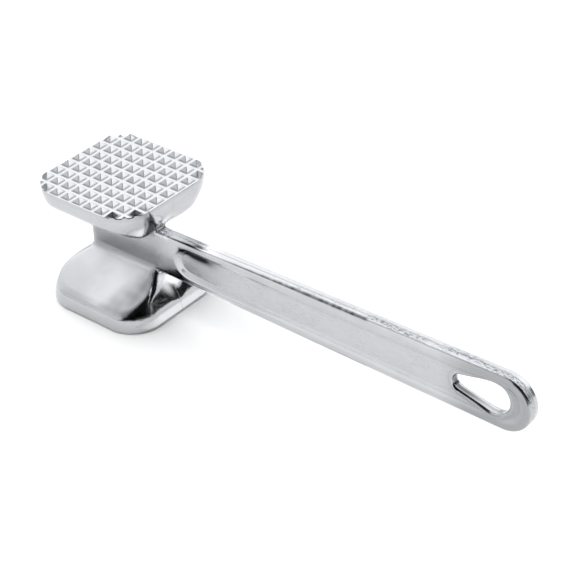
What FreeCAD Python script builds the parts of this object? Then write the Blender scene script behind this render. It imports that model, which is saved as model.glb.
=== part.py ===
"""Two-faced meat mallet: a square head with a toothed face and a smooth face, on a flat bar handle.

The real mallet is one solid aluminium casting. It is drawn here as the seven bodies that its own
features divide it into. They meet face to face, and none overlaps another.

Frame, in millimetres: the origin is the centre of the smooth face, on which the mallet stands.
+Z runs up through the head to the toothed face, and +X runs along the handle to the hang hole.
The casting mirrors in the plane Y = 0, where its mould parted.
"""
import FreeCAD, Part
import math
import os

from FreeCAD import Vector

# Driving dimensions
TOOTH_PITCH = 5.8
TEETH_PER_SIDE = 9
TOOTH_BASE = 4.1
TOOTH_TIP = 0.4
TOOTH_HEIGHT = 2.0
HEAD_HEIGHT = 52.8          # smooth face to the floor between the teeth
CORNER_RADIUS = 13.8        # of both faces, seen from above
FACE_PLATE = 2.0            # how deep each striking face is drawn as its own body
NECK_HEIGHT = 18.0          # of each half of the head, face to waist
WAIST_THICKNESS = 6.2
HANDLE_THICKNESS = 5.4
OVERALL_LENGTH = 212.0

# Head: the sides of each half lean in as they leave its face, then slopes run in to the waist
FACE = TOOTH_PITCH * TEETH_PER_SIDE
HALF_FACE = FACE / 2
SIDE_RADIUS = 27.0          # arc along which the sides lean in, upright at the face
FLANK_SLOPE_FOOT = 6.7      # height at which each flank's slope would meet an upright side
SHOULDER_FOOT_X = 23.0      # a point on the slope at each end of the head
SHOULDER_FOOT_HEIGHT = 13.3
NECK_HALF_LENGTH = 16.4     # half the neck's length along X where it meets the waist
SHOULDER_RADIUS = 1.5       # round every edge of the slopes between the sides and the waist
FACE_EDGE_RADIUS = 0.8

# Waist: the web between the two halves of the head
WAIST_HALF_LENGTH = 17.4
WAIST_EDGE_RADIUS = 1.5

# Handle: a bar that widens slightly towards its rounded end
AXIS_HEIGHT = HEAD_HEIGHT / 2
HANDLE_START = WAIST_HALF_LENGTH
HANDLE_END = OVERALL_LENGTH - HALF_FACE
HALF_HEIGHT_AT_HEAD = 9.1
SWELL_AT = 66.0             # the bar reaches most of its height here
HALF_HEIGHT_AT_SWELL = 9.9
HALF_HEIGHT_AT_END = 11.2
HANDLE_EDGE_RADIUS = 1.6
EYE_START = 150.0           # where the hang eye takes over from the grip

# Hang hole: a teardrop, two circles and their common tangents
HOLE_SMALL_X = 157.4
HOLE_SMALL_RADIUS = 3.4
HOLE_LARGE_X = 170.6
HOLE_LARGE_RADIUS = 6.4
HOLE_EDGE_RADIUS = 0.6

# Side panels: a shallow pocket in each flank, from near the head right round the hang hole
PANEL_START = 26.4
PANEL_START_RADIUS = 6.9
PANEL_RIM = 2.4             # width of the raised rim left round the far end
PANEL_DEPTH = 0.9
PANEL_WALL = 1.2            # width of the sloping wall round the pocket

OVERSHOOT = 5.0             # how far cutting tools run past what they cut
NEAR = 1e-3                 # places closer than this count as the same


def polygon_face(points):
    """A flat face through the given corners."""
    return Part.Face(Part.makePolygon(points + [points[0]]))


def rounded_square_prism(low, high):
    """The outline shared by both faces, as a prism from one height to another."""
    block = Part.makeBox(FACE, FACE, high - low, Vector(-HALF_FACE, -HALF_FACE, low))
    upright = [e for e in block.Edges if e.BoundBox.ZLength > NEAR]
    return block.makeFillet(CORNER_RADIUS, upright)


def edges_at_height(solid, height):
    """The edges of a solid that lie in one horizontal plane."""
    return [e for e in solid.Edges if abs(e.BoundBox.ZMin - height) + e.BoundBox.ZLength < NEAR]


def lean_at(height):
    """How far the sides have leaned in at a height above the face."""
    return SIDE_RADIUS - math.sqrt(SIDE_RADIUS ** 2 - height ** 2)


def leaning_profile(near, far):
    """A face in the plane Y = 0: from x = near out to a side that starts at x = far and leans in."""
    top = Vector(far - lean_at(NECK_HEIGHT), 0, NECK_HEIGHT)
    middle = Vector(far - lean_at(NECK_HEIGHT / 2), 0, NECK_HEIGHT / 2)
    side = Part.Arc(Vector(far, 0, 0), middle, top).toShape()
    return Part.Face(Part.Wire([
        Part.makeLine(Vector(near, 0, 0), Vector(far, 0, 0)),
        side,
        Part.makeLine(top, Vector(near, 0, NECK_HEIGHT)),
        Part.makeLine(Vector(near, 0, NECK_HEIGHT), Vector(near, 0, 0)),
    ]))


def leaning_block():
    """Half a head before its slopes: the rounded square, with all its sides leaning in."""
    straight = HALF_FACE - CORNER_RADIUS
    upright = Vector(0, 0, 1)
    post = leaning_profile(0, CORNER_RADIUS).revolve(Vector(0, 0, 0), upright, 360)
    side = leaning_profile(0, HALF_FACE).extrude(Vector(0, 2 * straight, 0))
    side.translate(Vector(0, -straight, 0))
    pieces = []
    for turn in range(4):
        corner = post.copy()
        corner.translate(Vector(straight, straight, 0))
        wall = side.copy()
        for piece in (corner, wall):
            piece.rotate(Vector(0, 0, 0), upright, 90 * turn)
            pieces.append(piece)
    return pieces[0].multiFuse(pieces[1:]).removeSplitter()


def end_shoulder_prism():
    """Side view of half a head, as a prism along Y: a neck, with a slope down from each of its ends."""
    start = -OVERSHOOT - HALF_FACE
    slope = (NECK_HEIGHT - SHOULDER_FOOT_HEIGHT) / (SHOULDER_FOOT_X - NECK_HALF_LENGTH)
    low = NECK_HEIGHT - slope * (FACE - NECK_HALF_LENGTH)
    profile = polygon_face([
        Vector(-FACE, start, -OVERSHOOT),
        Vector(FACE, start, -OVERSHOOT),
        Vector(FACE, start, low),
        Vector(NECK_HALF_LENGTH, start, NECK_HEIGHT),
        Vector(-NECK_HALF_LENGTH, start, NECK_HEIGHT),
        Vector(-FACE, start, low),
    ])
    return profile.extrude(Vector(0, FACE + 2 * OVERSHOOT, 0))


def flank_slope_prism():
    """End view of half a head, as a prism along X: a neck, with a slope down each flank."""
    start = -OVERSHOOT - HALF_FACE
    half_neck = WAIST_THICKNESS / 2
    slope = (NECK_HEIGHT - FLANK_SLOPE_FOOT) / (HALF_FACE - half_neck)
    low = NECK_HEIGHT - slope * (FACE - half_neck)
    profile = polygon_face([
        Vector(start, -FACE, low - OVERSHOOT),
        Vector(start, FACE, low - OVERSHOOT),
        Vector(start, FACE, low),
        Vector(start, half_neck, NECK_HEIGHT),
        Vector(start, -half_neck, NECK_HEIGHT),
        Vector(start, -FACE, low),
    ])
    return profile.extrude(Vector(FACE + 2 * OVERSHOOT, 0, 0))


def half_head():
    """One half of the head, from its face to the waist, with the edges of its slopes rounded."""
    block = leaning_block().common(end_shoulder_prism()).common(flank_slope_prism())
    block = block.removeSplitter()
    slope_edges = [
        e for e in block.Edges
        if FLANK_SLOPE_FOOT < e.BoundBox.ZMin < NECK_HEIGHT - NEAR
    ]
    return block.makeFillet(SHOULDER_RADIUS, slope_edges)


def lower_head():
    """The half of the head above the smooth face, up to the waist."""
    block = half_head()
    below = Part.makeBox(2 * FACE, 2 * FACE, FACE_PLATE, Vector(-FACE, -FACE, 0))
    return block.cut(below)


def upper_head():
    """The other half of the head: the lower half turned over."""
    return lower_head().mirror(Vector(0, 0, AXIS_HEIGHT), Vector(0, 0, 1))


def smooth_face():
    """The flat striking face that the mallet stands on, with a softened rim."""
    slab = Part.makeBox(2 * FACE, 2 * FACE, FACE_PLATE, Vector(-FACE, -FACE, 0))
    plate = half_head().common(slab)
    return plate.makeFillet(FACE_EDGE_RADIUS, edges_at_height(plate, 0))


def groove(along_x, offset):
    """One V-groove between rows of teeth, as a long prism with a flat floor."""
    half_floor = (TOOTH_PITCH - TOOTH_BASE) / 2
    half_mouth = (TOOTH_PITCH - TOOTH_TIP) / 2
    start = -HALF_FACE - OVERSHOOT
    corners = [(-half_floor, 0), (half_floor, 0), (half_mouth, TOOTH_HEIGHT), (-half_mouth, TOOTH_HEIGHT)]
    if along_x:
        points = [Vector(start, offset + u, HEAD_HEIGHT + w) for u, w in corners]
        sweep = Vector(FACE + 2 * OVERSHOOT, 0, 0)
    else:
        points = [Vector(offset + u, start, HEAD_HEIGHT + w) for u, w in corners]
        sweep = Vector(0, FACE + 2 * OVERSHOOT, 0)
    return polygon_face(points).extrude(sweep)


def toothed_face():
    """The tenderising face: a plate cut into rows of blunt pyramids, trimmed by the round corners."""
    plate = rounded_square_prism(HEAD_HEIGHT - FACE_PLATE, HEAD_HEIGHT + TOOTH_HEIGHT)
    offsets = [(i - TEETH_PER_SIDE / 2) * TOOTH_PITCH for i in range(TEETH_PER_SIDE + 1)]
    for along_x in (True, False):
        for offset in offsets:
            plate = plate.cut(groove(along_x, offset))
    return plate.removeSplitter()


def waist():
    """The web that joins the two halves of the head, rounded at the end away from the handle."""
    height = HEAD_HEIGHT - 2 * NECK_HEIGHT
    corner = Vector(-WAIST_HALF_LENGTH, -WAIST_THICKNESS / 2, NECK_HEIGHT)
    web = Part.makeBox(2 * WAIST_HALF_LENGTH, WAIST_THICKNESS, height, corner)
    free_end = [
        e for e in web.Edges
        if abs(e.BoundBox.XMax + WAIST_HALF_LENGTH) < NEAR and e.BoundBox.ZLength > height / 2
    ]
    return web.makeFillet(WAIST_EDGE_RADIUS, free_end)


def handle_blank():
    """The whole bar from the waist to its rounded end, before the panels and the hole."""
    y = -HANDLE_THICKNESS / 2

    def point(x, side, half_height):
        return Vector(x, y, AXIS_HEIGHT + side * half_height)

    end_x = HANDLE_END - HALF_HEIGHT_AT_END
    stations = [
        (HANDLE_START, HALF_HEIGHT_AT_HEAD),
        (SWELL_AT, HALF_HEIGHT_AT_SWELL),
        (end_x, HALF_HEIGHT_AT_END),
    ]
    low = [point(x, -1, half_height) for x, half_height in stations]
    high = [point(x, 1, half_height) for x, half_height in stations]
    outline = Part.Wire([
        Part.makeLine(low[0], low[1]),
        Part.makeLine(low[1], low[2]),
        Part.Arc(low[2], point(HANDLE_END, 1, 0), high[2]).toShape(),
        Part.makeLine(high[2], high[1]),
        Part.makeLine(high[1], high[0]),
        Part.makeLine(high[0], low[0]),
    ])
    bar = Part.Face(outline).extrude(Vector(0, HANDLE_THICKNESS, 0))
    rim = [
        e for e in bar.Edges
        if e.BoundBox.YLength < NEAR and e.BoundBox.XMax > HANDLE_START + NEAR
    ]
    return bar.makeFillet(HANDLE_EDGE_RADIUS, rim)


def hang_hole():
    """The teardrop hole as a cutting prism through the bar."""
    run = HOLE_LARGE_X - HOLE_SMALL_X
    lean = math.asin((HOLE_LARGE_RADIUS - HOLE_SMALL_RADIUS) / run)
    y = -HANDLE_THICKNESS / 2 - OVERSHOOT

    def rim(x, radius, side):
        return Vector(x - radius * math.sin(lean), y, AXIS_HEIGHT + side * radius * math.cos(lean))

    small = (HOLE_SMALL_X, HOLE_SMALL_RADIUS)
    large = (HOLE_LARGE_X, HOLE_LARGE_RADIUS)
    small_end = Vector(HOLE_SMALL_X - HOLE_SMALL_RADIUS, y, AXIS_HEIGHT)
    large_end = Vector(HOLE_LARGE_X + HOLE_LARGE_RADIUS, y, AXIS_HEIGHT)
    outline = Part.Wire([
        Part.Arc(rim(*small, 1), small_end, rim(*small, -1)).toShape(),
        Part.makeLine(rim(*small, -1), rim(*large, -1)),
        Part.Arc(rim(*large, -1), large_end, rim(*large, 1)).toShape(),
        Part.makeLine(rim(*large, 1), rim(*small, 1)),
    ])
    return Part.Face(outline).extrude(Vector(0, HANDLE_THICKNESS + 2 * OVERSHOOT, 0))


def panel_outline(inset, y):
    """Outline of a side panel at one depth: two round ends and the straight sides between them."""
    near_x = PANEL_START + PANEL_START_RADIUS
    near = PANEL_START_RADIUS - inset
    far_x = HANDLE_END - HALF_HEIGHT_AT_END
    far = HALF_HEIGHT_AT_END - PANEL_RIM - inset
    near_high = Vector(near_x, y, AXIS_HEIGHT + near)
    near_low = Vector(near_x, y, AXIS_HEIGHT - near)
    far_high = Vector(far_x, y, AXIS_HEIGHT + far)
    far_low = Vector(far_x, y, AXIS_HEIGHT - far)
    return Part.Wire([
        Part.makeLine(far_high, near_high),
        Part.Arc(near_high, Vector(near_x - near, y, AXIS_HEIGHT), near_low).toShape(),
        Part.makeLine(near_low, far_low),
        Part.Arc(far_low, Vector(far_x + far, y, AXIS_HEIGHT), far_high).toShape(),
    ])


def side_panel(side):
    """One side panel as a cutting solid: a pocket with sloping walls."""
    y = side * HANDLE_THICKNESS / 2
    mouth = panel_outline(0, y)
    floor = panel_outline(PANEL_WALL, y - side * PANEL_DEPTH)
    return Part.makeLoft([mouth, floor], True, True)


def panelled_bar():
    """The whole bar with a panel sunk in each flank."""
    bar = handle_blank()
    for side in (-1, 1):
        bar = bar.cut(side_panel(side))
    return bar


def beyond_eye_start():
    """Everything on the far side of the plane where the hang eye begins."""
    return Part.makeBox(2 * FACE, 2 * FACE, 2 * FACE, Vector(EYE_START, -FACE, AXIS_HEIGHT - FACE))


def handle_grip():
    """The grip: the bar from the waist to the hang eye."""
    return panelled_bar().cut(beyond_eye_start())


def runs_round_hole(edge):
    """Whether an edge of the eye is a rim of the hang hole, on either flank."""
    box = edge.BoundBox
    flat = box.YLength < NEAR
    in_length = box.XMin > EYE_START + NEAR and box.XMax < HOLE_LARGE_X + HOLE_LARGE_RADIUS + NEAR
    in_height = box.ZLength < 2 * HOLE_LARGE_RADIUS + NEAR
    return flat and in_length and in_height


def hang_eye():
    """The rounded end of the bar, with the hang hole through it."""
    eye = panelled_bar().common(beyond_eye_start()).cut(hang_hole())
    return eye.makeFillet(HOLE_EDGE_RADIUS, [e for e in eye.Edges if runs_round_hole(e)])


def main():
    os.makedirs("parts", exist_ok=True)
    bodies = {
        "toothed_face": toothed_face(),
        "upper_head": upper_head(),
        "waist": waist(),
        "lower_head": lower_head(),
        "smooth_face": smooth_face(),
        "handle_grip": handle_grip(),
        "hang_eye": hang_eye(),
    }
    for name, shape in bodies.items():
        solid = shape.Solids[0]
        volume = round(solid.Volume / 1000, 2)
        print(name, "solids", len(shape.Solids), "valid", solid.isValid(), "cm3", volume)
        solid.exportStep("parts/" + name + ".step")


main()
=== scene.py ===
"""The meat mallet's looks: one polished aluminium casting, in seven pieces that ride on the CAD model.

The casting's whole skin is one smooth distance function, in millimetres. Each piece is the part of
that skin between the planes that divide it from its neighbours, so the skin runs on unbroken from
piece to piece, with the soft fillets that a casting has.
"""
import bmesh
import bpy
import math
import numpy as np
from mathutils import Matrix, Vector

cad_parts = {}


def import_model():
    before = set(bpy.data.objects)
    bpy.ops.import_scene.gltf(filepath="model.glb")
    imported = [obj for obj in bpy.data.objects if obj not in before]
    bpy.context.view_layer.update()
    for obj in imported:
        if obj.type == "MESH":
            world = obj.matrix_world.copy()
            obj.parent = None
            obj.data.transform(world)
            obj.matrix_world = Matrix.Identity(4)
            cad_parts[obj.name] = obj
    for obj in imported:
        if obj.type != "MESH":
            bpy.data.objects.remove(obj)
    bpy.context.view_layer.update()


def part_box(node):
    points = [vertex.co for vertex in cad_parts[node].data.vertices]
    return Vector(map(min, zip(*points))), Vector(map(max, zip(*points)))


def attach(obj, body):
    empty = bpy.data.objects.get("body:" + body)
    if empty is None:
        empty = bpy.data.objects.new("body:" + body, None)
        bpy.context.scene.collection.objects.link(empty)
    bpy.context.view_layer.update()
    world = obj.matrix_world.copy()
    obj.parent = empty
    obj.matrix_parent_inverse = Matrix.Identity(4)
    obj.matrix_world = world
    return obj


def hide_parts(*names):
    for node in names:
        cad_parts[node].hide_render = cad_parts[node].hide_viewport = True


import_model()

MM = 0.001


def node_box_mm(node):
    """The lowest and highest corner of a CAD node, in millimetres."""
    low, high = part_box(node)
    return np.array(low) / MM, np.array(high) / MM


# Places read from the frame, in millimetres
FACE_HIGH = node_box_mm("smooth_face")[1]
TEETH_HIGH = node_box_mm("toothed_face")[1]
WAIST_LOW, WAIST_HIGH = node_box_mm("waist")
EYE_LOW, EYE_HIGH = node_box_mm("hang_eye")
GRIP_LOW, GRIP_HIGH = node_box_mm("handle_grip")
HALF_FACE = float(FACE_HIGH[0])
FACE_PLATE = float(FACE_HIGH[2])
TOOTH_TOP = float(TEETH_HIGH[2])
NECK_HEIGHT = float(WAIST_LOW[2])
AXIS_HEIGHT = float(WAIST_LOW[2] + WAIST_HIGH[2]) / 2
HEAD_HEIGHT = 2 * AXIS_HEIGHT
WAIST_END = float(WAIST_HIGH[0])
HALF_WAIST = float(WAIST_HIGH[1])
HANDLE_END = float(EYE_HIGH[0])
EYE_START = float(EYE_LOW[0])
HALF_HANDLE = float(EYE_HIGH[1])
END_RADIUS = float(EYE_HIGH[2] - EYE_LOW[2]) / 2
END_CENTRE = HANDLE_END - END_RADIUS

# The casting's own shape, in millimetres
TEETH_PER_SIDE = 9
TOOTH_PITCH = 2 * HALF_FACE / TEETH_PER_SIDE
TOOTH_BASE = 4.1
TOOTH_TIP = 0.3
CORNER_RADIUS = 13.8
BAND_FLANK = 6.7            # height of the band round a face, on the two flanks
LEAN_START = 1.2            # the sides stand upright to here, then lean in along an arc
LEAN_RADIUS = 16.0
LEAN_LIMIT = math.radians(24)
SHIELD_CROWN = 0.55         # how far each flank's slope stands proud of flat, in its middle
NECK_END = 16.4             # where the end shoulders reach the waist
SHOULDER_FOOT = (23.0, 13.3)
SCOOP_FOOT = (23.8, 9.6)    # under the handle the shoulder is scooped down to here
SCOOP_WIDTH = 6.5
HALF_HEIGHT_AT_HEAD = 9.1
SWELL_AT = 66.0             # where the handle stops widening quickly
HALF_HEIGHT_AT_SWELL = 9.9
BAR_EDGE_RADIUS = 0.9
HOLE_SMALL = (157.4, 3.4)   # place along the handle and radius
HOLE_LARGE = (170.6, 6.4)
PANEL_START = 26.4
PANEL_START_RADIUS = 6.9
PANEL_RIM = 2.4
PANEL_DEPTH = 0.9
PANEL_WALL = 2.2            # width of the slope round a side panel
PARTING_RIDGE = 0.05        # how far the mould's parting line stands up
ROOT = (22.0, 10.5)         # the rough corner over the handle's root: place along it and above the axis
ROOT_LUMPS = 0.2

# Colours of the metal, and of the light and shade painted into it
# The first colour darkens the parting line, and is also painted shade in inner corners.
SEAM_DIRT_AND_CORNER_SHADE = (0.30, 0.31, 0.33)
# The next colour is painted light: bright metal where the metal stands in for the light it reflects.
PAINTED_LIGHT_COLOUR = (0.93, 0.935, 0.955)
# The next colour is painted shade: near black where the metal stands in for shade and dark reflections.
PAINTED_SHADE_COLOUR = (0.015, 0.017, 0.026)
FLASH_SPECKS = (0.10, 0.12, 0.16)


# Blending of distances

def soft_max(a, b, k):
    """The larger of two distances, with the edge between them rounded over a width k."""
    return np.maximum(a, b) + np.maximum(k - np.abs(a - b), 0) ** 2 / (4 * k)


def soft_min(a, b, k):
    """The smaller of two distances, with the corner between them filled over a width k."""
    return -soft_max(-a, -b, k)


def smooth_step(t):
    t = np.clip(t, 0, 1)
    return t * t * (3 - 2 * t)


def ramp(value, start, end):
    """0 at start and 1 at end, smooth between them. Start may be the larger of the two."""
    return smooth_step((value - start) / (end - start))


def band(value, middle, half_width):
    """1 in the middle of a band, falling to 0 at its edges."""
    return np.exp(-((value - middle) / half_width) ** 2)


# The head

def rounded_square(x, y):
    """Distance from the outline of the two faces, in plan."""
    straight = HALF_FACE - CORNER_RADIUS
    qx = np.abs(x) - straight
    qy = np.abs(y) - straight
    corner = np.hypot(np.maximum(qx, 0), np.maximum(qy, 0))
    return corner + np.minimum(np.maximum(qx, qy), 0) - CORNER_RADIUS


def flank_slope(y, h):
    """The slope on each flank of half a head, from its side up to the waist, slightly crowned."""
    run = HALF_FACE - HALF_WAIST
    rise = NECK_HEIGHT - BAND_FLANK
    length = math.hypot(run, rise)
    across = ((HALF_FACE - np.abs(y)) * run + (h - BAND_FLANK) * rise) / length ** 2
    crown = SHIELD_CROWN * (1 - (2 * np.clip(across, 0, 1) - 1) ** 2)
    return ((np.abs(y) - HALF_FACE) * rise + (h - BAND_FLANK) * run) / length - crown


def slope_through(x, h, foot):
    """Distance above the slope that runs from the waist's end down to a foot."""
    run = foot[0] - NECK_END
    rise = NECK_HEIGHT - foot[1]
    return ((np.abs(x) - NECK_END) * rise + (h - NECK_HEIGHT) * run) / math.hypot(run, rise)


def end_shoulder(x, y, h):
    """The slope at each end of half a head, scooped out where the handle leaves it."""
    plain = slope_through(x, h, SHOULDER_FOOT)
    scooped = slope_through(x, h, SCOOP_FOOT)
    share = np.where(x > 0, np.exp(-(y / SCOOP_WIDTH) ** 2), 0)
    return plain + (scooped - plain) * share


def lean(h):
    """How far the sides have leaned in, at each height above the face."""
    arc_end = LEAN_RADIUS * math.sin(LEAN_LIMIT)
    up = np.maximum(h - LEAN_START, 0)
    on_arc = np.minimum(up, arc_end)
    return LEAN_RADIUS - np.sqrt(LEAN_RADIUS ** 2 - on_arc ** 2) + (up - on_arc) * math.tan(LEAN_LIMIT)


def above_face(z):
    """Height above the nearer striking face."""
    return AXIS_HEIGHT - np.abs(z - AXIS_HEIGHT)


def half_heads(x, y, z):
    """Both halves of the head."""
    h = above_face(z)
    side = rounded_square(x, y) + lean(h)
    slopes = soft_max(flank_slope(y, h), end_shoulder(x, y, h), 1.6)
    block = soft_max(side, slopes, 1.8)
    lower_edge = soft_max(block, -h, 1.6)
    upper = soft_max(block, tooth_surface(x, y, z), 0.5)
    return np.where(z > AXIS_HEIGHT, upper, lower_edge)


def tooth_place(x, y):
    """How far a point is from the middle of its tooth, along each side of the face."""
    u = np.abs((x + HALF_FACE) % TOOTH_PITCH - TOOTH_PITCH / 2)
    v = np.abs((y + HALF_FACE) % TOOTH_PITCH - TOOTH_PITCH / 2)
    return u, v


def tooth_surface(x, y, z):
    """Distance above the toothed face, with its rows of blunt pyramids."""
    reach = soft_max(*tooth_place(x, y), 0.25)
    height = TOOTH_TOP - HEAD_HEIGHT
    steepness = height / ((TOOTH_BASE - TOOTH_TIP) / 2)
    flank = (TOOTH_BASE / 2 - reach) * steepness
    relief = soft_min(soft_max(flank, 0 * flank, 0.35), height + 0 * flank, 0.3)
    return (z - HEAD_HEIGHT - relief) / math.hypot(1, steepness)


# The waist, the handle and the hang eye

def half_height(x):
    """Half the height of the bar at each place along it."""
    x = np.maximum(x, WAIST_END)
    near_rise = (HALF_HEIGHT_AT_SWELL - HALF_HEIGHT_AT_HEAD) / (SWELL_AT - WAIST_END)
    far_rise = (END_RADIUS - HALF_HEIGHT_AT_SWELL) / (END_CENTRE - SWELL_AT)
    near = HALF_HEIGHT_AT_HEAD + near_rise * (x - WAIST_END)
    far = HALF_HEIGHT_AT_SWELL + far_rise * (x - SWELL_AT)
    return soft_min(near, far, 0.3)


def half_thickness(x):
    """Half the thickness of the bar: the waist is a little thicker than the handle."""
    return HALF_WAIST + (HALF_HANDLE - HALF_WAIST) * ramp(x, 6, 32)


def bar_outline(x, z):
    """Distance from the bar's outline, seen from its flank."""
    straight = np.abs(z - AXIS_HEIGHT) - half_height(np.minimum(x, END_CENTRE))
    rounded = np.hypot(x - END_CENTRE, z - AXIS_HEIGHT) - END_RADIUS
    return np.where(x > END_CENTRE, rounded, straight)


def panel_outline(x, z):
    """Distance from the outline of a side panel."""
    near_x = PANEL_START + PANEL_START_RADIUS
    t = np.clip((x - near_x) / (END_CENTRE - near_x), 0, 1)
    radius = PANEL_START_RADIUS + (END_RADIUS - PANEL_RIM - PANEL_START_RADIUS) * t
    return np.hypot(x - (near_x + (END_CENTRE - near_x) * t), z - AXIS_HEIGHT) - radius


def hole_outline(x, z):
    """Distance from the teardrop hang hole: two circles and their common tangents."""
    small_x, small_r = HOLE_SMALL
    large_x, large_r = HOLE_LARGE
    run = large_x - small_x
    taper = (large_r - small_r) / run
    px = x - small_x
    pz = np.abs(z - AXIS_HEIGHT)
    along = px + pz * taper / math.sqrt(1 - taper ** 2)
    t = np.clip(along / run, 0, 1)
    return np.hypot(px - run * t, pz) - (small_r + (large_r - small_r) * t)


def panel_floor(x, z):
    """How deep the side panels are, with gentler walls at the head's end and towards the hang eye."""
    wall = PANEL_WALL + 1.6 * band(x, PANEL_START, 9.0) + 1.2 * ramp(x, 40, 90)
    depth = PANEL_DEPTH + 0.25 * band(x, PANEL_START, 30.0)
    return depth * smooth_step(-panel_outline(x, z) / wall)


def parting_ridge(x, y):
    """The ragged, wandering ridge that the mould's joint leaves along the top and bottom of the bar."""
    ragged = 0.6 + 0.4 * np.sin(x * 1.9 + 1.3 * np.sin(x * 0.7)) * np.sin(x * 0.31 + 0.5)
    return PARTING_RIDGE * ragged * band(y, 0.15 * np.sin(x * 0.21), 0.3)


def bar(x, y, z):
    """The bar that is the waist, the handle and the hang eye."""
    floor = panel_floor(x, z)
    hole = hole_outline(x, z)
    lip = 0.3 * band(hole, 0.9, 0.6)
    flank = np.abs(y) - half_thickness(x) + np.where(hole > 0, floor - lip, floor)
    q_outline = np.maximum(bar_outline(x, z), -WAIST_END - x) + BAR_EDGE_RADIUS
    q_flank = flank + BAR_EDGE_RADIUS
    rounded = np.hypot(np.maximum(q_outline, 0), np.maximum(q_flank, 0))
    solid = rounded + np.minimum(np.maximum(q_outline, q_flank), 0) - BAR_EDGE_RADIUS
    solid = solid + PARTING_RIDGE - parting_ridge(x, y)
    return soft_max(solid, -hole, 0.8)


def lumps(x, y, z, size):
    """A smooth uneven field between about -1 and 1, with lumps of the given size."""
    k = math.pi / size

    def wave(a, b, c, shift):
        return np.sin(k * (a * x + b * y + c * z) + shift)

    coarse = wave(0.83, 0.41, 0.37, 1.1) * wave(-0.35, 0.92, 0.21, 0.4)
    other = wave(0.29, -0.52, 0.94, 2.3) * wave(0.77, 0.48, -0.66, 5.1)
    fine = wave(1.159, 0.665, 1.33, 0.9) * wave(-1.19, 1.02, 0.68, 3.7)
    return 0.45 * coarse + 0.4 * other + 0.25 * fine


def casting(p):
    """Signed distance from the whole casting, negative in the metal."""
    x, y, z = p[..., 0], p[..., 1], p[..., 2]
    whole = soft_min(half_heads(x, y, z), bar(x, y, z), 2.0)
    return whole + ROOT_LUMPS * lumps(x, y, z, 1.3) * root_mask(x, y, z)


def root_mask(x, y, z):
    """1 in the corner between the handle's top and the head, where the casting was left rough."""
    from_root = np.sqrt((x - ROOT[0]) ** 2 + (0.8 * y) ** 2 + (z - AXIS_HEIGHT - ROOT[1]) ** 2)
    return ramp(from_root, 5, 2)


def gradient(p):
    """The direction in which the distance grows, at each point."""
    step = 0.02
    g = np.empty_like(p)
    for axis in range(3):
        offset = np.zeros(3)
        offset[axis] = step
        g[:, axis] = (casting(p + offset) - casting(p - offset)) / (2 * step)
    return g


# From distance to mesh

ON_PLANE = 1e-3             # a point this near a cut lies on it, in millimetres
CORNERS = np.array([(i, j, k) for i in (0, 1) for j in (0, 1) for k in (0, 1)])
CELL_EDGES = [(a, b) for a in range(8) for b in range(a + 1, 8) if np.abs(CORNERS[a] - CORNERS[b]).sum() == 1]


def skin(low, high, step):
    """Vertices and quads of the casting's skin inside a box, with one vertex in each grid cell it crosses."""
    count = np.ceil((high - low) / step).astype(int) + 1
    axes = [low[i] + step[i] * np.arange(count[i]) for i in range(3)]
    grid = np.stack(np.meshgrid(*axes, indexing="ij"), -1)
    field = casting(grid)
    cells = tuple(n - 1 for n in count)

    def corner(c):
        return tuple(slice(c[i], c[i] + cells[i]) for i in range(3))

    total = np.zeros(cells + (3,))
    crossings = np.zeros(cells, int)
    for a, b in CELL_EDGES:
        fa = field[corner(CORNERS[a])]
        fb = field[corner(CORNERS[b])]
        crossed = (fa < 0) != (fb < 0)
        share = np.where(crossed, fa / np.where(crossed, fa - fb, 1), 0)
        place = CORNERS[a] + share[..., None] * (CORNERS[b] - CORNERS[a])
        total += np.where(crossed[..., None], place, 0)
        crossings += crossed
    active = crossings > 0
    index = np.full(cells, -1)
    index[active] = np.arange(active.sum())
    base = np.argwhere(active)
    points = low + step * (base + total[active] / crossings[active][:, None])
    return settle(points, step), quads_of(field, index)


def quads_of(field, index):
    """One quad round every grid edge that the skin crosses."""
    inside = field < 0
    quads = []
    for axis in range(3):
        u, v = (axis + 1) % 3, (axis + 2) % 3
        ahead = [slice(None)] * 3
        behind = [slice(None)] * 3
        ahead[axis] = slice(1, None)
        behind[axis] = slice(None, -1)
        leaving = inside[tuple(behind)] & ~inside[tuple(ahead)]
        entering = ~inside[tuple(behind)] & inside[tuple(ahead)]
        for crossed, order in ((leaving, (0, 1, 2, 3)), (entering, (3, 2, 1, 0))):
            at = np.argwhere(crossed)
            keep = (at[:, u] > 0) & (at[:, v] > 0)
            keep &= (at[:, u] < index.shape[u]) & (at[:, v] < index.shape[v])
            at = at[keep]
            ring = []
            for du, dv in ((1, 1), (0, 1), (0, 0), (1, 0)):
                cell = at.copy()
                cell[:, u] -= du
                cell[:, v] -= dv
                ring.append(index[cell[:, 0], cell[:, 1], cell[:, 2]])
            quads.append(np.stack([ring[i] for i in order], 1))
    return np.concatenate(quads)


def settle(points, step):
    """Moves points on to the skin itself."""
    start = points.copy()
    for _ in range(4):
        g = gradient(points)
        length2 = np.maximum((g ** 2).sum(1), 0.05)
        points = points - (casting(points) / length2)[:, None] * g
        points = start + np.clip(points - start, -0.7 * step, 0.7 * step)
    return points


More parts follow.
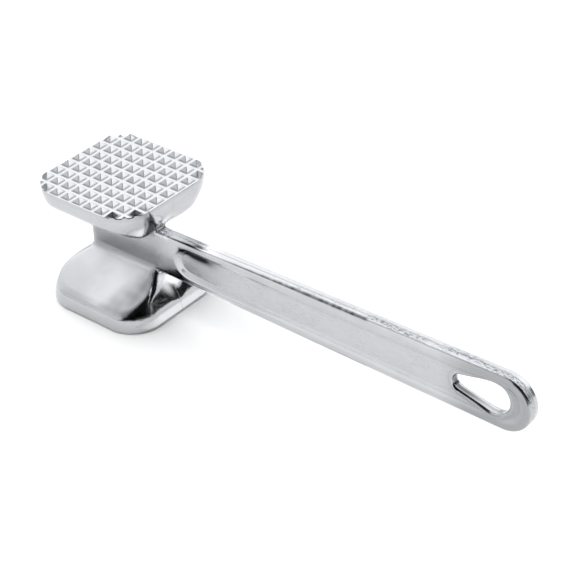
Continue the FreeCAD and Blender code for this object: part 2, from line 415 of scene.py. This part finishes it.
def cut_and_cap(bm, planes):
    """Cuts away what lies beyond each plane and closes the cuts flat.

    Where two cuts meet, the line between them is drawn first. A cut that meets two others is closed by
    the second round, when they have both been closed.
    """
    for origin, outward in planes:
        everything = bm.verts[:] + bm.edges[:] + bm.faces[:]
        bmesh.ops.bisect_plane(
            bm, geom=everything, dist=1e-5, plane_co=origin, plane_no=outward, clear_outer=True
        )
    for origin, outward in [*planes, *planes]:
        rim = [e for e in bm.edges if e.is_boundary and all(on_plane(v.co, origin, outward) for v in e.verts)]
        along = [v for e in rim for v in e.verts]
        ends = [v for v in along if along.count(v) == 1]
        if len(ends) == 2:
            rim.append(bm.edges.new(ends))
        if rim and len(ends) <= 2:
            bmesh.ops.holes_fill(bm, edges=rim, sides=0)


def on_plane(co, origin, outward):
    """Whether a vertex lies on a cut."""
    return abs((co - Vector(origin)).dot(Vector(outward))) < ON_PLANE


def casting_piece(name, low, high, step, planes):
    """One piece of the casting: its skin inside a box, cut off flat at its dividing planes."""
    step = np.array(step, float)
    margin = 3 * step
    points, quads = skin(np.array(low, float) - margin, np.array(high, float) + margin, step)
    mesh = bpy.data.meshes.new(name)
    mesh.from_pydata(points.tolist(), [], quads.tolist())
    bm = bmesh.new()
    bm.from_mesh(mesh)
    cut_and_cap(bm, planes)
    big = [f for f in bm.faces if len(f.verts) > 4]
    bmesh.ops.triangulate(bm, faces=big)
    bm.normal_update()
    bm.to_mesh(mesh)
    bm.free()
    shade_from_skin(mesh, planes)
    mesh.transform(Matrix.Scale(MM, 4))
    piece = bpy.data.objects.new(name, mesh)
    bpy.context.scene.collection.objects.link(piece)
    return piece


def shade_from_skin(mesh, planes):
    """Takes shading from the skin itself, so that it runs on across cuts, and leaves the caps flat."""
    places = np.empty(len(mesh.vertices) * 3)
    mesh.vertices.foreach_get("co", places)
    places = places.reshape(-1, 3)
    normals = gradient(places)
    normals /= np.maximum(np.linalg.norm(normals, axis=1), 1e-9)[:, None]
    loop_vertex = np.empty(len(mesh.loops), int)
    mesh.loops.foreach_get("vertex_index", loop_vertex)
    loop_normals = normals[loop_vertex]
    for origin, outward in planes:
        on_cut = np.abs((places - np.array(origin)) @ np.array(outward)) < ON_PLANE
        for polygon in mesh.polygons:
            if all(on_cut[v] for v in polygon.vertices):
                loop_normals[polygon.loop_start:polygon.loop_start + polygon.loop_total] = outward
    mesh.polygons.foreach_set("use_smooth", np.ones(len(mesh.polygons), bool))
    mesh.normals_split_custom_set(loop_normals.tolist())
    store(mesh, "hollow", hollowness(places))
    store(mesh, "painted_shade", painted_shade(places, normals))
    store(mesh, "painted_light", painted_light(places, normals))
    store(mesh, "brushed", satin(places, normals))
    store(mesh, "flash", flash_mask(places))
    store(mesh, "seam", seam_mask(places))


def store(mesh, name, values):
    """Keeps one number for each vertex, which the materials read by name."""
    layer = mesh.attributes.new(name, "FLOAT", "POINT")
    layer.data.foreach_set("value", values.astype(np.float32))


def hollowness(p):
    """How deep each point sits in an inner corner, from 0 in the open to 1. The colour is darkened there as
    painted shade, and roughened.
    """
    reach = 0.45
    around = np.zeros(len(p))
    for axis in range(3):
        for side in (-1, 1):
            offset = np.zeros(3)
            offset[axis] = side * reach
            around += casting(p + offset)
    return np.clip(-around / (6 * reach) * 5.0, 0, 1) * (1 - root_mask(p[:, 0], p[:, 1], p[:, 2]))


# Where the finish changes, and where light and shade are painted into the colour. Each function gives 0 to 1
# at points p, in millimetres, on the skin.

def painted_shade(p, normals):
    """Painted shade and painted dark reflections, mixed into the colour towards near black: on the waist's
    flanks, darker towards the bottom; on the hang eye's flanks; towards the foot of each slope; on the sides
    of the toothed plate; in dark lines round the handle; in the hang hole; and round the teeth.
    """
    x, y, z = p[:, 0], p[:, 1], p[:, 2]
    # Painted shade on the waist's flanks, darker towards the bottom
    waist = waist_flank(p, normals) * (0.22 + 0.30 * ramp(z, 30, 23.5))
    eye = 0.36 * normals[:, 1] ** 2 * ramp(x, 146, 164)
    # Painted shade towards each slope's foot, mottled
    slope_foot = ramp(x - 0.9 * (above_face(z) - 10.0), 4, 12)
    slope = 0.5 * slope_foot * (0.75 + 0.35 * lumps(x, y, z, 5.0)) * slopes(p, normals)
    plate = HEAD_HEIGHT - FACE_PLATE
    plate_side = 0.26 * ramp(z, plate, plate + 0.05) * ramp(normals[:, 2], 0.6, 0.2)
    parts = [waist, eye, slope, plate_side, painted_dark_lines(p), in_bore(p), painted_teeth_shade(p, normals)]
    return np.clip(np.maximum.reduce(parts), 0, 1)


def waist_flank(p, normals):
    """The flat flanks of the waist, between the heads."""
    x, y = p[:, 0], p[:, 1]
    return normals[:, 1] ** 2 * ramp(np.abs(y), 5, 3.5) * ramp(x, -19, -14) * ramp(x, 27, 15)


def slopes(p, normals):
    """The slopes between a face and the waist, on both flanks."""
    h = above_face(p[:, 2])
    facing = ramp(np.abs(normals[:, 1]), 0.22, 0.34) * ramp(np.abs(normals[:, 0]), 0.5, 0.2)
    up = ramp(h, BAND_FLANK, BAND_FLANK + 1) * ramp(h, NECK_HEIGHT + 1, NECK_HEIGHT - 0.5)
    return facing * up * ramp(np.abs(p[:, 0]), 24, 21)


def satin(p, normals):
    """Where the casting was brushed rather than polished: slopes, waist and side panels."""
    panel = ramp(panel_outline(p[:, 0], p[:, 2]), 0, -2) * ramp(np.abs(normals[:, 1]), 0.9, 0.98)
    parts = [slopes(p, normals), 0.5 * waist_flank(p, normals), 0.45 * panel]
    return np.maximum.reduce(parts)


def painted_light(p, normals):
    """Painted light, mixed into the colour as bright metal: round the handle's root, on the handle's top near
    the head, on the slopes beside the waist, under the handle's root, and on faces turned towards +X above
    and below the handle's root.
    """
    x, y, z = p[:, 0], p[:, 1], p[:, 2]
    in_lower_half = z < AXIS_HEIGHT
    top = ramp(normals[:, 2], 0.75, 0.95) * band(z - AXIS_HEIGHT, 9.5, 1.5) * band(y, 0, 4.0)
    top *= ramp(x, 18, 21) * ramp(x, 50, 40)
    slope = slopes(p, normals) * np.where(in_lower_half, 0.36 + 0.44 * ramp(x, -9, 5), 0.9)
    under = 0.9 * in_lower_half * ramp(-normals[:, 2], 0.3, 0.6) * ramp(x, 16, 18) * ramp(x, 46, 38)
    shoulder = 0.6 * ramp(normals[:, 0], 0.45, 0.65) * band(z, 12.5, 3.5) * band(y, -1.0, 5.0)
    over = 0.6 * ramp(normals[:, 0], 0.25, 0.45) * band(z, HEAD_HEIGHT - 12.5, 3.5) * band(y, 0, 5.0)
    return np.maximum.reduce([top, slope, root_mask(x, y, z), under, shoulder, over])


def painted_dark_lines(p):
    """Painted dark reflections: the dark lines and wedges round the handle's root, along its edge and round
    its end.

    Most of them are only on the flank at -Y. out is the distance from the casting's middle plane on
    that side.
    """
    x, out, z = p[:, 0], -p[:, 1], p[:, 2]
    outline = bar_outline(x, z)
    under_head = ramp(x, 20, 22.5) * ramp(out, 4, 5.2) * ramp(out, 13.8, 12.6)
    under_head *= ramp(z, 36, 37) * ramp(z - 1.8 * (out - 6), 41, 39.5)
    top_line = band(z, 36.2 - 0.04 * (x - 20), 0.5) * ramp(x, 17, 19) * ramp(x, 44, 34)
    top_line *= ramp(np.abs(out), 1.8, 2.2)
    edge = band(outline, -0.25, 0.15 + 0.4 * ramp(x, 60, 110)) * ramp(out, 1.3, 1.7)
    edge *= ramp(x, 48, 62) * ramp(x, 119, 117) * (0.75 + 0.3 * lumps(x, 0 * x, z, 1.6))
    crescent = band(outline, -0.55, 0.42) * ramp(out, 1.6, 2.1) * (z > AXIS_HEIGHT)
    crescent *= ramp(x, 177, 179) * ramp(x, 185.1, 184.3)
    low_line = band(z, 18.7, 0.55) * ramp(x, 15, 17) * ramp(x, 34, 30)
    pocket = 1.8 * band(z, 31.6 - 0.07 * (x - 31), 1.0 + 0.8 * ramp(x, 29, 36))
    pocket *= ramp(x, 28.5, 30) * ramp(x, 50, 36) * ramp(out, 0, 1)
    on_bar = ramp(np.abs(out), 3.8, 3.3)
    return np.maximum(under_head, on_bar * np.maximum.reduce([top_line, edge, crescent, low_line, pocket]))


def in_bore(p):
    """Painted dark reflections: streaks along the wall of the hang hole, strongest at its narrow end."""
    x, y, z = p[:, 0], p[:, 1], p[:, 2]
    wall = ramp(np.abs(hole_outline(x, z)), 0.45, 0.15)
    streaks = 0.9 * band(y, 0.1, 1.5) - 0.7 * band(y, 0.9, 0.25)
    return wall * streaks * (1 - 0.65 * ramp(x, 158, 169))


def painted_teeth_shade(p, normals):
    """Painted shade on the cut sides of the teeth at the face's corners, most at the near one, and at the
    foot of each tooth.
    """
    x, y, z = p[:, 0], p[:, 1], p[:, 2]
    up = z - HEAD_HEIGHT
    side = rounded_square(x, y) + lean(np.maximum(-up, 0))
    above = ramp(up, 0.1, 0.4)
    cut = above * ramp(side, -0.6, -0.1) * ramp(normals[:, 2], 0.7, 0.3)
    in_corner = ramp(np.abs(x), 11, 15) * ramp(np.abs(y), 11, 15)
    near = 0.5 + 0.4 * ramp(x, 0, 10) * ramp(-y, 0, 10)
    cut = np.maximum(cut, above * in_corner * near * ramp(side, -2.4, -1.6))
    foot = band(np.maximum(*tooth_place(x, y)), TOOTH_BASE / 2 - 0.03, 0.24) * ramp(up, 1, 0.6)
    outward = ramp(0.9 * normals[:, 0] - 1.2 * normals[:, 1], -0.35, 0.65)
    return np.where(up > -0.3, np.maximum(cut, foot * (0.35 + 0.3 * outward)), 0)


def flash_mask(p):
    """Where the mould's flash was trimmed off: along the bar's top and bottom, and at the handle's root."""
    x, y, z = p[:, 0], p[:, 1], p[:, 2]
    on_edge = ramp(bar_outline(x, z), -0.6, 0) * band(y, 0.5 * np.sin(x * 0.13) - 0.6, 1.5)
    along = 0.45 * ramp(x, 62, 92) + 0.55 * ramp(x, 114, 122)
    along *= 0.55 + 0.45 * ramp(lumps(x, 0 * x, 0 * x, 9.0), -1 / 2, 1 / 3)
    return np.clip(np.maximum(on_edge * along, 0.35 * root_mask(x, y, z)), 0, 1)


def seam_mask(p):
    """Where the mould's parting line still shows: polishing has taken it off the shoulders."""
    return 1 - ramp(above_face(p[:, 2]), 8.5, 10) * ramp(np.abs(p[:, 0]), 26.5, 25)


# The seven pieces

def divide():
    """The planes between pieces, each as a point and a direction away from the face or the head.

    Where the handle leaves the head, the fillet between them is divided on a slant.
    """
    slant = Vector((1.1, 0, 9.1)).normalized()
    return {
        "face_top": ((0, 0, FACE_PLATE), Vector((0, 0, 1))),
        "teeth_floor": ((0, 0, HEAD_HEIGHT - FACE_PLATE), Vector((0, 0, 1))),
        "neck_low": ((0, 0, NECK_HEIGHT), Vector((0, 0, 1))),
        "neck_high": ((0, 0, HEAD_HEIGHT - NECK_HEIGHT), Vector((0, 0, 1))),
        "under_grip": ((WAIST_END, 0, NECK_HEIGHT), slant),
        "over_grip": ((WAIST_END, 0, HEAD_HEIGHT - NECK_HEIGHT), Vector((-slant.x, 0, slant.z))),
        "grip_start": ((WAIST_END, 0, 0), Vector((1, 0, 0))),
        "eye_start": ((EYE_START, 0, 0), Vector((1, 0, 0))),
    }


def beyond(plane):
    return plane[0], tuple(plane[1])


def before(plane):
    return plane[0], tuple(-plane[1])


def build_pieces():
    cut = divide()
    f = HALF_FACE
    recipes = {
        "toothed_face": (
            (-f, -f, HEAD_HEIGHT - FACE_PLATE), (f, f, TOOTH_TOP), (TOOTH_PITCH / 26,) * 3,
            [before(cut["teeth_floor"])],
        ),
        "upper_head": (
            (-f, -f, HEAD_HEIGHT - NECK_HEIGHT), (f, f, HEAD_HEIGHT - FACE_PLATE), (0.5, 0.5, 0.4),
            [beyond(cut["teeth_floor"]), before(cut["neck_high"]), before(cut["over_grip"])],
        ),
        "waist": (
            (-WAIST_END, -f / 2, NECK_HEIGHT), (WAIST_END, f / 2, HEAD_HEIGHT - NECK_HEIGHT), (0.5, 0.4, 0.5),
            [beyond(cut["neck_high"]), before(cut["neck_low"]), beyond(cut["grip_start"])],
        ),
        "lower_head": (
            (-f, -f, FACE_PLATE), (f, f, NECK_HEIGHT), (0.5, 0.5, 0.4),
            [before(cut["face_top"]), beyond(cut["neck_low"]), beyond(cut["under_grip"])],
        ),
        "smooth_face": (
            (-f, -f, 0), (f, f, FACE_PLATE), (0.5, 0.5, 0.3),
            [beyond(cut["face_top"])],
        ),
        "handle_grip": (
            (WAIST_END, -f / 4, GRIP_LOW[2]), (EYE_START, f / 4, GRIP_HIGH[2]), (0.6, 0.2, 0.4),
            [
                before(cut["grip_start"]), beyond(cut["eye_start"]),
                before(cut["under_grip"]), beyond(cut["over_grip"]),
            ],
        ),
        "hang_eye": (
            (EYE_START, -f / 4, EYE_LOW[2]), (HANDLE_END, f / 4, EYE_HIGH[2]), (0.35, 0.2, 0.35),
            [before(cut["eye_start"])],
        ),
    }
    pieces = {}
    for node, (low, high, step, planes) in recipes.items():
        piece = casting_piece("skin_" + node, low, high, step, planes)
        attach(piece, "root")
        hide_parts(node)
        pieces[node] = piece
    return pieces


# Materials

def new_material(name):
    material = bpy.data.materials.new(name)
    material.use_nodes = True
    tree = material.node_tree
    return material, tree.nodes, tree.links, tree.nodes["Principled BSDF"]


def math_node(nodes, links, operation, a, b):
    node = nodes.new("ShaderNodeMath")
    node.operation = operation
    for socket, value in zip(node.inputs, (a, b)):
        if isinstance(value, (int, float)):
            socket.default_value = value
        else:
            links.new(value, socket)
    return node.outputs[0]


def noise(nodes, links, place, wavelengths, detail, roughness=0.55):
    """Noise whose lumps have the given size in millimetres along each axis."""
    stretch = nodes.new("ShaderNodeMapping")
    stretch.inputs["Scale"].default_value = [1 / (w * MM) for w in wavelengths]
    links.new(place, stretch.inputs["Vector"])
    texture = nodes.new("ShaderNodeTexNoise")
    texture.inputs["Scale"].default_value = 1.0
    texture.inputs["Detail"].default_value = detail
    texture.inputs["Roughness"].default_value = roughness
    links.new(stretch.outputs[0], texture.inputs["Vector"])
    return texture.outputs["Fac"]


def spread(nodes, links, value, low, high, from_low=0.3, from_high=0.7):
    """Maps a range of a value, or else the middle of a noise's range, on to low..high."""
    node = nodes.new("ShaderNodeMapRange")
    links.new(value, node.inputs["Value"])
    node.inputs["From Min"].default_value = from_low
    node.inputs["From Max"].default_value = from_high
    node.inputs["To Min"].default_value = low
    node.inputs["To Max"].default_value = high
    return node.outputs[0]


def attribute(nodes, name):
    node = nodes.new("ShaderNodeAttribute")
    node.attribute_name = name
    return node.outputs["Fac"]


def mix(nodes, links, first, second, factor):
    """Two colours, each a plain one or another node's, mixed by a factor that varies over the surface."""
    node = nodes.new("ShaderNodeMix")
    node.data_type = "RGBA"
    for name, colour in (("A", first), ("B", second)):
        if isinstance(colour, tuple):
            node.inputs[name].default_value = (*colour, 1)
        else:
            links.new(colour, node.inputs[name])
    links.new(factor, node.inputs["Factor"])
    return node.outputs["Result"]


def bump(nodes, links, height, distance, normal=None):
    """Bumps of the given height in millimetres, on top of an earlier bump."""
    node = nodes.new("ShaderNodeBump")
    node.inputs["Strength"].default_value = 1.0
    node.inputs["Distance"].default_value = distance * MM
    links.new(height, node.inputs["Height"])
    if normal is not None:
        links.new(normal, node.inputs["Normal"])
    return node.outputs[0]


def parting_line(nodes, links, place):
    """1 along the thin line where the two halves of the mould met, in the plane Y = 0."""
    split = nodes.new("ShaderNodeSeparateXYZ")
    links.new(place, split.inputs[0])
    wander = spread(nodes, links, noise(nodes, links, place, (6, 6, 6), 2), -0.15 * MM, 0.15 * MM)
    off = math_node(nodes, links, "ABSOLUTE", math_node(nodes, links, "ADD", split.outputs["Y"], wander), 0)
    line = spread(nodes, links, off, 1, 0, 0.08 * MM, 0.3 * MM)
    return math_node(nodes, links, "MULTIPLY", line, attribute(nodes, "seam"))


def aluminium(name, colour, shine, brush, grain, peel, seamed):
    """Polished cast aluminium, with the changes of finish, and the painted light and shade, that are stored
    on each piece.

    shine is the roughness of its smoothest and dullest patches, brush the size in millimetres of the
    marks that polishing left along each axis, grain how deep those are, and peel how uneven the skin is.
    A seamed surface shows the line where its mould parted.
    """
    material, nodes, links, shader = new_material(name)
    place = nodes.new("ShaderNodeTexCoord").outputs["Object"]
    patches = noise(nodes, links, place, (9, 9, 7), 3)
    marks = noise(nodes, links, place, brush, 4, 0.6)
    orange_peel = noise(nodes, links, place, (2.6, 2.6, 2.2), 2)
    pores = noise(nodes, links, place, (0.5, 0.5, 0.5), 2)
    torn = noise(nodes, links, place, (1.5, 0.5, 0.8), 3, 0.7)
    hollow = attribute(nodes, "hollow")
    flash = attribute(nodes, "flash")
    seam = parting_line(nodes, links, place) if seamed else None

    def maths(operation, a, b):
        return math_node(nodes, links, operation, a, b)

    mottle = maths("ADD", spread(nodes, links, patches, 0, 0.5), spread(nodes, links, marks, 0, 0.5))
    tint = mix(nodes, links, tuple(c * 0.86 for c in colour), tuple(colour), mottle)
    # Painted shade in inner corners
    tint = mix(nodes, links, tint, SEAM_DIRT_AND_CORNER_SHADE, maths("MULTIPLY", hollow, 0.7))
    # Painted light
    tint = mix(nodes, links, tint, PAINTED_LIGHT_COLOUR, attribute(nodes, "painted_light"))
    # Painted shade and dark reflections
    tint = mix(nodes, links, tint, PAINTED_SHADE_COLOUR, attribute(nodes, "painted_shade"))
    specks = maths("MULTIPLY", spread(nodes, links, torn, 0, 1, 0.5, 0.6), flash)
    tint = mix(nodes, links, tint, FLASH_SPECKS, specks)
    if seamed:
        tint = mix(nodes, links, tint, SEAM_DIRT_AND_CORNER_SHADE, maths("MULTIPLY", seam, 0.5))
    links.new(tint, shader.inputs["Base Color"])
    shader.inputs["Metallic"].default_value = 1.0

    rough = spread(nodes, links, patches, shine[0], shine[1])
    rough = maths("ADD", rough, spread(nodes, links, marks, -0.035, 0.06))
    rough = maths("ADD", rough, maths("MULTIPLY", hollow, 0.2))
    rough = maths("ADD", rough, maths("MULTIPLY", flash, 0.1))
    rough = maths("ADD", rough, maths("MULTIPLY", attribute(nodes, "brushed"), 0.34))
    links.new(rough, shader.inputs["Roughness"])

    surface = bump(nodes, links, orange_peel, peel)
    surface = bump(nodes, links, marks, grain, surface)
    surface = bump(nodes, links, maths("MULTIPLY", torn, flash), 0.35, surface)
    surface = bump(nodes, links, pores, 0.009, surface)
    if seamed:
        surface = bump(nodes, links, seam, 0.03, surface)
    links.new(surface, shader.inputs["Normal"])
    return material


# Stage, light and camera

def add_camera():
    """The view of the photograph: a long lens, from the handle's side and above."""
    camera = bpy.data.cameras.new("camera")
    camera.lens = 105.4
    camera.sensor_width = 36.0
    camera.clip_end = 20
    holder = bpy.data.objects.new("camera", camera)
    place = Vector((406.7, -383.6, 380.8)) * MM
    right = Vector((0.77660516, 0.62904686, -0.03441623))
    up = Vector((-0.33555395, 0.45926578, 0.82248312))
    back = -Vector((-0.53318662, 0.62719614, -0.56774733))
    holder.matrix_world = Matrix((
        (right.x, up.x, back.x, place.x),
        (right.y, up.y, back.y, place.y),
        (right.z, up.z, back.z, place.z),
        (0, 0, 0, 1),
    ))
    bpy.context.scene.collection.objects.link(holder)
    bpy.context.scene.camera = holder


def stage_mesh(name, vertices, faces, material):
    mesh = bpy.data.meshes.new(name)
    mesh.from_pydata(vertices, [], faces)
    mesh.materials.append(material)
    piece = bpy.data.objects.new(name, mesh)
    bpy.context.scene.collection.objects.link(piece)
    return piece


def add_floor():
    material, nodes, links, shader = new_material("floor_paint")
    shader.inputs["Base Color"].default_value = (0.95, 0.95, 0.95, 1)
    shader.inputs["Roughness"].default_value = 0.8
    shader.inputs["Specular IOR Level"].default_value = 0.1
    s = 6.0
    stage_mesh("floor", [(-s, -s, 0), (s, -s, 0), (s, s, 0), (-s, s, 0)], [(0, 1, 2, 3)], material)


def add_backdrop():
    """A pale wall far behind the floor. It is seen past the object but gives no light."""
    material, nodes, links, shader = new_material("backdrop_paint")
    shader.inputs["Base Color"].default_value = (0, 0, 0, 1)
    shader.inputs["Roughness"].default_value = 1.0
    shader.inputs["Emission Color"].default_value = (0.82, 0.82, 0.82, 1)
    shader.inputs["Emission Strength"].default_value = 1.0
    count, radius, foot, top = 48, 5.5, -0.1, 4.0
    turns = [2 * math.pi * i / count for i in range(count)]
    vertices = [(radius * math.cos(a), radius * math.sin(a), z) for a in turns for z in (foot, top)]
    following = [(i + 1) % count for i in range(count)]
    faces = [(2 * i, 2 * i + 1, 2 * j + 1, 2 * j) for i, j in enumerate(following)]
    wall = stage_mesh("backdrop", vertices, faces, material)
    hide_from(wall, "diffuse", "glossy", "transmission", "volume_scatter", "shadow")


def add_card():
    """A white card laid on the floor beside the head, seen only in the metal."""
    material, nodes, links, shader = new_material("card_paint")
    shader.inputs["Base Color"].default_value = (0, 0, 0, 1)
    shader.inputs["Emission Color"].default_value = (1, 1, 1, 1)
    split = nodes.new("ShaderNodeSeparateXYZ")
    links.new(nodes.new("ShaderNodeTexCoord").outputs["Object"], split.inputs[0])
    glow = spread(nodes, links, split.outputs["Y"], 0.95, 1.6, -26 * MM, -6 * MM)
    links.new(glow, shader.inputs["Emission Strength"])
    outline = [(27.5, -30), (42, -30), (42, 26), (27.5, 26)]
    vertices = [(x * MM, y * MM, 0.1 * MM) for x, y in outline]
    card = stage_mesh("card", vertices, [(0, 1, 2, 3)], material)
    hide_from(card, "camera", "diffuse", "transmission", "volume_scatter", "shadow")


def hide_from(piece, *kinds):
    """Hides a piece from these kinds of rays."""
    for kind in kinds:
        setattr(piece, "visible_" + kind, False)


def add_key():
    """One large soft lamp above the front, which isn't itself seen in the metal."""
    light = bpy.data.lights.new("key", "AREA")
    light.shape = "SQUARE"
    light.size = 1.4
    light.energy = 20
    holder = bpy.data.objects.new("key", light)
    holder.location = (-0.15, -0.5, 1.6)
    towards = Vector((0.05, 0, 0.02)) - holder.location
    holder.rotation_euler = towards.to_track_quat("-Z", "Y").to_euler()
    holder.visible_glossy = False
    bpy.context.scene.collection.objects.link(holder)


def add_studio():
    """A white studio, brightest behind, with two dark parts that give metal its contrast: low on the
    handle's side, and above the front corner, where a photographer would stand."""
    world = bpy.data.worlds.new("studio")
    world.use_nodes = True
    nodes, links = world.node_tree.nodes, world.node_tree.links
    background = nodes["Background"]
    place = nodes.new("ShaderNodeTexCoord")
    split = nodes.new("ShaderNodeSeparateXYZ")
    links.new(place.outputs["Generated"], split.inputs[0])
    along, across, up = (split.outputs[axis] for axis in "XYZ")

    handle_side = spread(nodes, links, along, 0.0, 1.0, -0.25, 0.05)
    not_behind = spread(nodes, links, across, 1.0, 0.0, 0.68, 0.80)
    dark = math_node(nodes, links, "MULTIPLY", handle_side, not_behind)
    low_sky = spread(nodes, links, dark, 1.05, 0.015, 0.0, 1.0)
    high_sky = spread(nodes, links, across, 0.82, 1.65, -0.35, -0.05)
    share = spread(nodes, links, up, 0.0, 1.0, 0.34, 0.46)
    rise = math_node(nodes, links, "SUBTRACT", high_sky, low_sky)
    lift = math_node(nodes, links, "MULTIPLY", rise, share)
    sky = math_node(nodes, links, "ADD", low_sky, lift)

    towards = nodes.new("ShaderNodeVectorMath")
    towards.operation = "DOT_PRODUCT"
    links.new(place.outputs["Generated"], towards.inputs[0])
    towards.inputs[1].default_value = Vector((0.50, -0.50, 0.71)).normalized()
    photographer = spread(nodes, links, towards.outputs["Value"], 1.0, 0.012, 0.655, 0.72)
    strength = math_node(nodes, links, "MULTIPLY", sky, photographer)
    background.inputs["Color"].default_value = (0.98, 0.99, 1.0, 1)
    links.new(strength, background.inputs["Strength"])
    bpy.context.scene.world = world


add_camera()
add_floor()
add_backdrop()
add_card()
add_studio()
add_key()
bpy.context.scene.view_settings.view_transform = "Standard"
pieces = build_pieces()
# The one casting's parts get different base colours, darker on the head and lighter on the teeth: painted
# shade and light for how much light each part reflects.
head_metal = aluminium(
    "cast_aluminium_head", (0.52, 0.525, 0.54), shine=(0.07, 0.16), brush=(0.5, 0.5, 7.0),
    grain=0.018, peel=0.05, seamed=True,
)
tooth_metal = aluminium(
    "cast_aluminium_teeth", (0.70, 0.705, 0.72), shine=(0.26, 0.36), brush=(1.0, 1.0, 1.0),
    grain=0.01, peel=0.03, seamed=False,
)
handle_metal = aluminium(
    "cast_aluminium_handle", (0.585, 0.59, 0.605), shine=(0.08, 0.17), brush=(9.0, 0.6, 0.5),
    grain=0.008, peel=0.035, seamed=True,
)
finish = {
    "toothed_face": ("toothed_face", tooth_metal),
    "upper_head": ("head", head_metal),
    "waist": ("handle", handle_metal),
    "lower_head": ("head", head_metal),
    "smooth_face": ("head", head_metal),
    "handle_grip": ("handle", handle_metal),
    "hang_eye": ("handle", handle_metal),
}
for node, piece in pieces.items():
    slot, metal = finish[node]
    piece.data.materials.append(metal)
